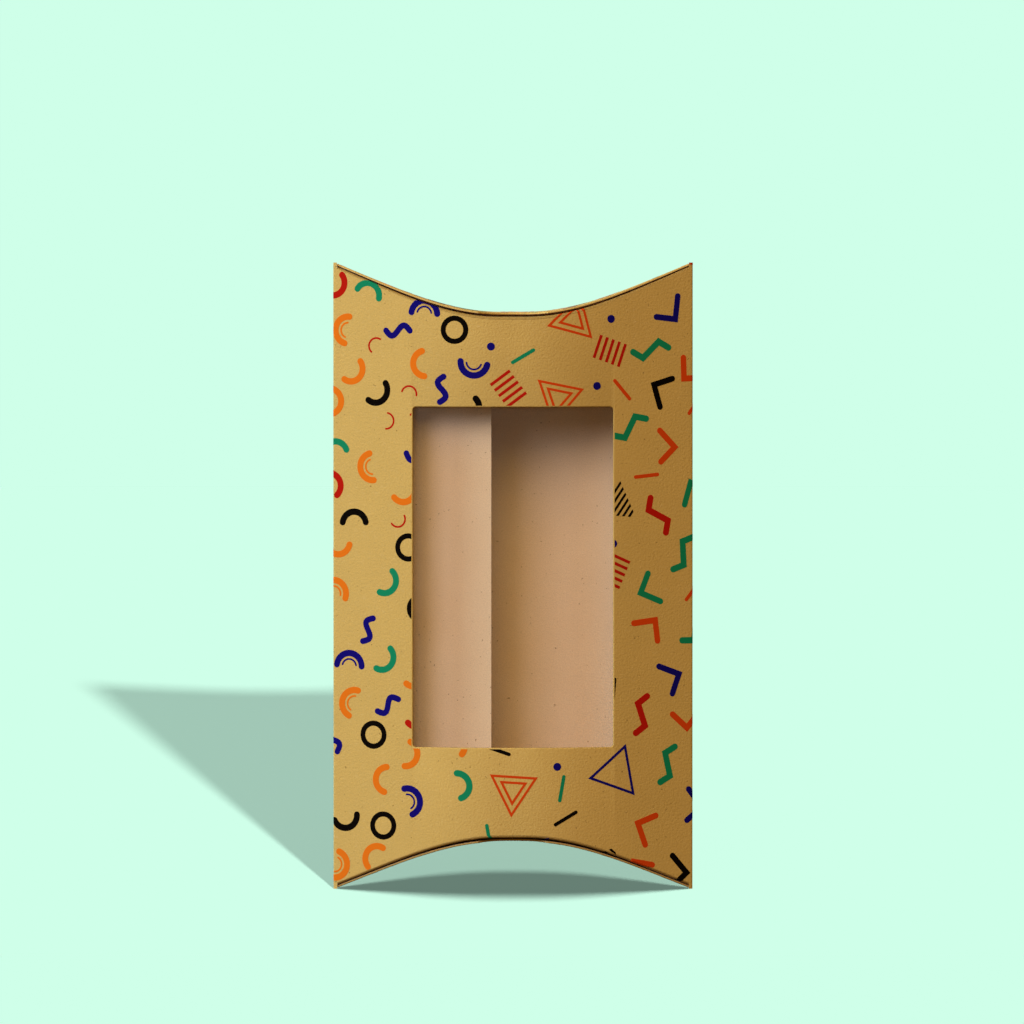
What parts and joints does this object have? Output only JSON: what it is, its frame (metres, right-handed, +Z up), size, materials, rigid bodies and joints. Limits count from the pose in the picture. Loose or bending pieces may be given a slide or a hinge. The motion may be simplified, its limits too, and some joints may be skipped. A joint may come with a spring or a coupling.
{
  "type": "window packaging box",
  "caption": "Pillow-shaped kraft board box with a rectangular film window in its bulged front and curved end flaps that fold in over both concave ends.",
  "frame": {"origin": "on the surface that the box stands on, midway between the lower tips of its side folds", "axes": "+Z up along the side folds, +X across the box to the right as seen from the front, -Y out of the front panel with the window"},
  "size_m": [0.09, 0.026, 0.157],
  "materials": {
    "printed_kraft": "uncoated kraft board with a coloured confetti print",
    "inner_kraft": "unprinted inside of the kraft board",
    "clear_film": "clear glossy film",
    "dried_glue": "dried cold glue"
  },
  "bodies": {
    "root": {"front_panel": "printed_kraft", "back_panel": "printed_kraft", "left_fold": "printed_kraft", "right_fold": "printed_kraft", "glue_flap": "inner_kraft", "seam_glue": "dried_glue", "window_film": "clear_film", "film_glue": "dried_glue"},
    "top_outer_flap": {"top_outer_flap": "printed_kraft"},
    "top_inner_flap": {"top_inner_flap": "printed_kraft"},
    "bottom_outer_flap": {"bottom_outer_flap": "printed_kraft"},
    "bottom_inner_flap": {"bottom_inner_flap": "printed_kraft"}
  },
  "joints": [
    {"name": "top_outer_crease", "type": "hinge", "parent": "root", "child": "top_outer_flap", "pos_m": [0, 0.013, 0.14455], "axis": [-1, 0, 0], "range_deg": [0, 110]},
    {"name": "top_inner_crease", "type": "hinge", "parent": "root", "child": "top_inner_flap", "pos_m": [0, -0.013, 0.1435], "axis": [1, 0, 0], "range_deg": [0, 90]},
    {"name": "bottom_outer_crease", "type": "hinge", "parent": "root", "child": "bottom_outer_flap", "pos_m": [0, 0.013, 0.01245], "axis": [1, 0, 0], "range_deg": [0, 110]},
    {"name": "bottom_inner_crease", "type": "hinge", "parent": "root", "child": "bottom_inner_flap", "pos_m": [0, -0.013, 0.0135], "axis": [-1, 0, 0], "range_deg": [0, 90]}
  ],
  "couplings": [
    {"joint": "top_inner_crease", "follows": "top_outer_crease", "ratio": 0.8},
    {"joint": "bottom_inner_crease", "follows": "bottom_outer_crease", "ratio": 0.8}
  ]
}
